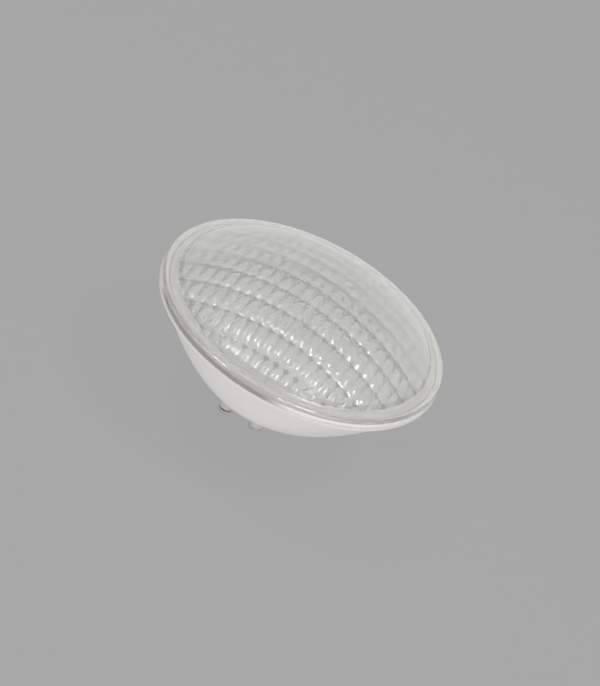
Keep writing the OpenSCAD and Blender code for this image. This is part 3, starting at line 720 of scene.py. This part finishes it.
class POOLLIGHT_OT_shell(bpy.types.Operator):
    """Model the white shell with its flange, plinth and bosses"""

    bl_idname = "pool_light.shell"
    bl_label = "Shell"

    lip_bend = 0.8 * MM  # reach of the bend from the bowl into the flange
    mouth_edge = 0.3 * MM  # edge broken at the bowl's mouth
    groove_gap = 0.1 * MM  # room round the rings in their grooves
    groove_widths = {"bond_bead": 1.3 * MM, "rim_seal": 1.6 * MM}
    plinth_sweep, plinth_bend = 1.6 * MM, 1.2 * MM  # fillet at the plinth's foot, rounding of its end
    boss_sweep, boss_bury = 0.9 * MM, 1.5 * MM  # fillet at a boss's foot, how far it goes into the plinth
    post_angles = (45, 135, 225, 315)  # where the posts stand on their circle, in degrees
    post_foot = -54 * MM  # height at which the posts start, before the bowl's outside trims them
    bush_ends = (-90 * MM, -40 * MM)  # heights between which the bush bores are cut
    hole_radius, hole_depth, hole_over = 1.55 * MM, 10 * MM, 1 * MM  # screw holes in the posts

    def outside(self, sizes):
        """Half outline of the bowl and the flange's rounded lip, from the floor to the joint."""
        rim, front, bend = SHELL_HIGH.x, SHELL_HIGH.z, sizes.lip_round
        curve = bowl(sizes.bowl_radius, sizes.bowl_depth, sizes)
        return [
            (0.0, -sizes.bowl_depth), *curve[:-1],
            *eased(curve[-2], curve[-1], (sizes.bowl_radius + self.lip_bend, 0.0))[1:],
            *arc((rim - bend, bend), bend, -90, 0, steps=5),
            *arc((rim - bend, front - bend), bend, 0, 90, steps=5),
        ]

    def inside(self, sizes):
        """Half outline from the joint's grooves down the bowl's inside to its floor."""
        front, mouth, edge = SHELL_HIGH.z, sizes.bowl_radius - sizes.wall, self.mouth_edge
        grooves = []
        for node, width in self.groove_widths.items():
            low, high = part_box(node)
            outer = high.x + self.groove_gap
            inner = outer - width
            grooves += [(outer, front), (outer, low.z), (inner, low.z), (inner, front)]
        curve = bowl(mouth, sizes.bowl_depth - sizes.wall, sizes)
        return [*grooves, *eased((mouth + edge, front), (mouth, front), (mouth, front - edge), steps=3),
                *reversed(curve), (0.0, sizes.wall - sizes.bowl_depth)]

    def stub(self, r, root, foot, end, sweep, bend):
        """Half outline of a stub with a swept foot and a rounded end."""
        return [
            (0.0, root), (r + sweep, root),
            *eased((r + sweep, foot), (r, foot), (r, foot - sweep)),
            *arc((r - bend, end + bend), bend, 0, -90, steps=6),
            (0.0, end),
        ]

    def plinth(self, sizes, middle, gap):
        """Oblong plinth on the back of the bowl."""
        profile = self.stub(sizes.plinth_radius, sizes.wall / 2 - sizes.bowl_depth, -sizes.bowl_depth,
                            sizes.plinth_end, self.plinth_sweep, self.plinth_bend)
        return shift(spread(lathe("plinth", profile, steps=66), gap), (middle, 0, 0))

    def boss(self, sizes, x):
        """Round boss of one terminal, on the plinth."""
        profile = self.stub(sizes.boss_radius, sizes.plinth_end + self.boss_bury, sizes.plinth_end,
                            SHELL_LOW.z, self.boss_sweep, sizes.boss_round)
        return shift(lathe("boss", profile, steps=48), (x, 0, 0))

    def execute(self, context):
        sizes, finish = context.scene.pool_light.shell, context.scene.pool_light.finish
        outside = self.outside(sizes)
        shell = lathe("shell", outside + self.inside(sizes), ROUND)
        solid = lathe("solid", [*outside, (0.0, SHELL_HIGH.z)], steps=96)
        xs = [terminal_x(side) for side in SIDES]
        combine(shell, self.plinth(sizes, sum(xs) / 2, xs[1] - xs[0]), "UNION")
        for x in xs:
            combine(shell, self.boss(sizes, x), "UNION")
        circle, top = sizes.post_circle, sizes.post_top
        corners = [(circle * math.cos(math.radians(a)), circle * math.sin(math.radians(a)))
                   for a in self.post_angles]
        posts = joined([bar("post", p, sizes.post_radius, self.post_foot, top) for p in corners])
        combine(shell, combine(posts, solid, "INTERSECT"), "UNION")
        holes = [bar("bush_bore", (x, 0), sizes.bush_bore, *self.bush_ends, sides=48) for x in xs]
        holes += [bar("screw_hole", p, self.hole_radius, top - self.hole_depth, top + self.hole_over, sides=20)
                  for p in corners]
        combine(shell, joined(holes), "DIFFERENCE")
        white = varied("White shell", finish.shell, roughness=0.34, drift=0.03, drift_scale=14.0,
                       grain_scale=2200.0, grain_height=0.03)
        present(shell, "moulded_shell", "lamp", white, ["rear_shell"], angle=32)
        return {"FINISHED"}


class POOLLIGHT_OT_terminals(bpy.types.Operator):
    """Model the terminal screws and washers"""

    bl_idname = "pool_light.terminals"
    bl_label = "Terminals"

    crown_ball = 2  # radius of the ball that the head's crown is part of, over the head's radius
    crown_share, crown_steps = 0.9, 12  # share of the head's radius that is crowned, before its rounded edge
    head_edge = 0.5 * MM  # reach of that edge down the head's side
    shank, thread_room = 0.4 * MM, 1.2 * MM  # plain length under the head, and all that the thread leaves free
    crest_marks = (0.4, 0.6)  # where a thread's crest begins and ends, as shares of its pitch
    tip_width, tip_length = 0.5 * MM, 0.6 * MM  # cone at the screw's end
    slot_reach, slot_over = 4, 1 * MM  # length of the slot's cutter over the head's radius, how far it stands out
    washer_gap = 0.05 * MM  # room between washer and thread

    def screw(self, sizes, side):
        """Slotted pan-head screw with its thread, head down."""
        low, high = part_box(f"{side}_terminal_screw")
        seat, r, bend = low.z + sizes.head_height, sizes.head_radius, sizes.edge_round
        ball = self.crown_ball * r
        edge = low.z + ball - math.sqrt(ball ** 2 - r ** 2)
        radii = (r * i / self.crown_steps * self.crown_share for i in range(self.crown_steps + 1))
        crown = [(q, low.z + ball - math.sqrt(ball ** 2 - q ** 2)) for q in radii]
        pitch, crest, root = sizes.thread_pitch, sizes.thread_radius, sizes.thread_radius - sizes.thread_depth
        thread = []
        for i in range(int((high.z - seat - self.thread_room) / pitch)):
            z = seat + self.shank + i * pitch
            thread += [(root, z), *((crest, z + mark * pitch) for mark in self.crest_marks)]
        profile = [
            *crown, *eased(crown[-1], (r, edge), (r, edge + self.head_edge)),
            *eased((r, seat - bend), (r, seat), (r - bend, seat), steps=3),
            *thread, (root, high.z - self.tip_length), (root - self.tip_width, high.z), (0.0, high.z),
        ]
        x, over = terminal_x(side), self.slot_over
        screw = shift(lathe("screw", profile, steps=48), (x, 0, 0))
        start()
        bpy.ops.mesh.primitive_cube_add(size=1.0, location=(x, 0, low.z + sizes.slot_depth / 2 - over))
        slot = bpy.context.object
        slot.scale = (self.slot_reach * r, sizes.slot_width, sizes.slot_depth + 2 * over)
        bpy.ops.object.transform_apply(location=True, rotation=True, scale=True)
        return combine(screw, slot, "DIFFERENCE")

    def washer(self, sizes, side):
        """Flat washer with its edges broken."""
        low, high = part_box(f"{side}_terminal_washer")
        outer, inner, bend = (high.x - low.x) / 2, sizes.thread_radius + self.washer_gap, sizes.edge_round
        profile = [
            (inner, low.z),
            *eased((outer - bend, low.z), (outer, low.z), (outer, low.z + bend), steps=4),
            *eased((outer, high.z - bend), (outer, high.z), (outer - bend, high.z), steps=4),
            (inner, high.z),
            (inner, low.z),
        ]
        return shift(lathe("washer", profile, steps=64), (terminal_x(side), 0, 0))

    def execute(self, context):
        sizes, finish = context.scene.pool_light.terminal, context.scene.pool_light.finish
        for side in SIDES:
            steel = turned(f"{side.title()} terminal steel", finish.steel, roughness=0.42, axis_x=terminal_x(side))
            present(self.screw(sizes, side), f"{side}_screw", f"{side}_screw", steel,
                    [f"{side}_terminal_screw"])
            present(self.washer(sizes, side), f"{side}_washer", f"{side}_washer", steel,
                    [f"{side}_terminal_washer"])
        return {"FINISHED"}


class POOLLIGHT_OT_inside(bpy.types.Operator):
    """Give the pieces inside the lamp their finishes"""

    bl_idname = "pool_light.inside"
    bl_label = "Inside"

    def execute(self, context):
        # Painted shade: the white inside pieces take a grey for the light that the lens holds back.
        white = context.scene.pool_light.finish.inside
        made = {slot: varied(slot.replace("_", " ").capitalize(), **look)
                for slot, look in INSIDE_FINISHES.items()}
        made["reflector_white"] = varied("Reflector white", white, roughness=0.5, drift=0.03)
        made["board_white"] = varied("Board white", white, roughness=0.4, drift=0.05, drift_scale=60.0)
        made["led_body"] = varied("Light source body", white, roughness=0.5)
        made["led_window"] = varied("Light source window", (0.80, 0.795, 0.77), roughness=0.25)
        for piece in frame["record"]["subparts"]:
            material = made.get(piece["material_slot"])
            if material is not None:
                data = frame["nodes"][piece["node"]].data
                data.materials.clear()
                data.materials.append(material)
        return {"FINISHED"}


class POOLLIGHT_OT_stage(bpy.types.Operator):
    """Set the floor, the lamps and the camera"""

    bl_idname = "pool_light.stage"
    bl_label = "Stage"

    floor_size, floor_drop = 12.0, 5 * MM  # width of the floor, room between it and the lamp
    floor_light, floor_share = 0.985, 0.93  # brightness of the floor's own light, and its share of what is seen
    room_light = 0.3  # brightness of the room round the stage
    lamps = (  # name, place, facing, size, brightness
        ("overhead softbox", (0.0, 0.2, 1.7), (0, 0, -1), (3.0, 3.0), 0.10),
        ("far softbox", (0.0, 0.8, 0.34), (0, -0.566, 0.827), (3.0, 1.45), 0.33),
        ("near right softbox", (1.32, -1.37, 0.5), (-1.32, 1.37, -0.5), (2.0, 1.2), 1.2),
        ("near left softbox", (-1.3, -1.4, 0.3), (1.3, 1.4, -0.3), (1.6, 1.0), 1.0),
        ("low softbox", (0.0, -0.60, -0.079), (0, 0, 1), (2.0, 1.15), 0.235),
        ("right key softbox", (0.60, -0.40, 1.45), (-0.60, 0.40, -1.45), (0.27, 0.27), 27.0),
        ("left key softbox", (-0.61, -0.40, 1.45), (0.61, 0.40, -1.45), (0.24, 0.24), 21.0),
    )

    def seen_by_eye(self, tree):
        """One for what the camera sees straight, in a mirror or through glass."""
        path = tree.nodes.new("ShaderNodeLightPath").outputs
        total = path["Is Camera Ray"]
        for label in ("Is Glossy Ray", "Is Transmission Ray"):
            total = maths(tree, "MAXIMUM", total, path[label])
        return total

    def floor(self, finish):
        """Plain floor, low enough for the terminal screws to be backed right out."""
        start()
        bpy.ops.mesh.primitive_plane_add(size=self.floor_size, location=(0, 0, CAD_BOX[0].z - self.floor_drop))
        floor = bpy.context.object
        floor.name = "floor"
        material, tree, shader = blank_material("Pale floor")
        shader.inputs["Base Color"].default_value = (0.70, 0.695, 0.70, 1.0)
        shader.inputs["Roughness"].default_value = 0.9
        flat = tree.nodes.new("ShaderNodeEmission")
        flat.inputs["Color"].default_value = (*finish.background, 1.0)
        flat.inputs["Strength"].default_value = self.floor_light
        share = maths(tree, "MULTIPLY", self.seen_by_eye(tree), self.floor_share)
        mix_out(tree, share, shader.outputs["BSDF"], flat.outputs["Emission"])
        floor.data.materials.append(material)

    def world(self, finish):
        """Dim even room, which the eye sees as the same grey as the floor."""
        world = bpy.data.worlds.new("Studio")
        bpy.context.scene.world = world
        world.use_nodes = True
        tree = world.node_tree
        room, wall = tree.nodes["Background"], tree.nodes.new("ShaderNodeBackground")
        room.inputs["Color"].default_value = (1.0, 0.995, 0.985, 1.0)
        room.inputs["Strength"].default_value = self.room_light
        wall.inputs["Color"].default_value = (*finish.background, 1.0)
        mix_out(tree, self.seen_by_eye(tree), room.outputs["Background"], wall.outputs["Background"],
                output="World Output")

    def lamp(self, name, place, facing, size, brightness):
        """Softbox of one even brightness, where 1 looks white, that the camera doesn't see."""
        start()
        bpy.ops.object.light_add(type="AREA", location=place)
        lamp = bpy.context.object
        lamp.name = name
        lamp.data.shape = "RECTANGLE"
        lamp.data.size, lamp.data.size_y = size
        lamp.data.energy = brightness * math.pi * size[0] * size[1]
        lamp.rotation_euler = Vector(facing).to_track_quat("-Z", "Y").to_euler()
        lamp.visible_camera = False

    def camera(self, sizes):
        """Long lens on the photo's line of sight, rolled about its own axis."""
        around, tilt, roll = sizes.camera_azimuth, sizes.camera_elevation, sizes.camera_roll
        back = Vector((math.sin(around) * math.cos(tilt), -math.cos(around) * math.cos(tilt), math.sin(tilt)))
        level = Vector((math.cos(around), math.sin(around), 0.0))
        above = back.cross(level)
        right = level * math.cos(roll) + above * math.sin(roll)
        up = above * math.cos(roll) - level * math.sin(roll)
        start()
        bpy.ops.object.camera_add()
        camera = bpy.context.object
        camera.name = "camera"
        camera.data.sensor_width = 36.0
        camera.data.lens = sizes.camera_lens
        camera.data.clip_start, camera.data.clip_end = 0.05, 50.0
        place = back * sizes.camera_distance - right * sizes.aside - up * sizes.below
        camera.matrix_world = Matrix.Translation(place) @ Matrix((right, up, back)).transposed().to_4x4()
        bpy.context.scene.camera = camera

    def execute(self, context):
        settings = context.scene.pool_light
        self.camera(settings.stage)
        self.floor(settings.finish)
        self.world(settings.finish)
        for row in self.lamps:
            self.lamp(*row)
        context.scene.view_settings.view_transform = "Standard"
        return {"FINISHED"}


class POOLLIGHT_PT_pieces(bpy.types.Panel):
    """Pieces of the pool light and their sizes"""

    bl_idname = "POOLLIGHT_PT_pieces"
    bl_label = "Pool Light"
    bl_space_type = "VIEW_3D"
    bl_region_type = "UI"
    bl_category = "Pool Light"

    def draw(self, context):
        settings = context.scene.pool_light
        groups = (("pool_light.lens", settings.lens), ("pool_light.shell", settings.shell),
                  ("pool_light.terminals", settings.terminal), ("pool_light.inside", settings.finish),
                  ("pool_light.stage", settings.stage))
        for operator, sizes in groups:
            box = self.layout.box()
            box.operator(operator)
            for label in sizes.__annotations__:
                box.prop(sizes, label)


CLASSES = (
    LensSizes, ShellSizes, TerminalSizes, Finishes, StageSizes, PoolLight,
    POOLLIGHT_OT_lens, POOLLIGHT_OT_shell, POOLLIGHT_OT_terminals, POOLLIGHT_OT_inside, POOLLIGHT_OT_stage,
    POOLLIGHT_PT_pieces,
)


def register():
    for cls in CLASSES:
        bpy.utils.register_class(cls)
    bpy.types.Scene.pool_light = PointerProperty(type=PoolLight)


def unregister():
    del bpy.types.Scene.pool_light
    for cls in reversed(CLASSES):
        bpy.utils.unregister_class(cls)


def main():
    register()
    bpy.ops.pool_light.stage()
    bpy.ops.pool_light.inside()
    bpy.ops.pool_light.shell()
    bpy.ops.pool_light.lens()
    bpy.ops.pool_light.terminals()


if __name__ == "__main__":
    main()
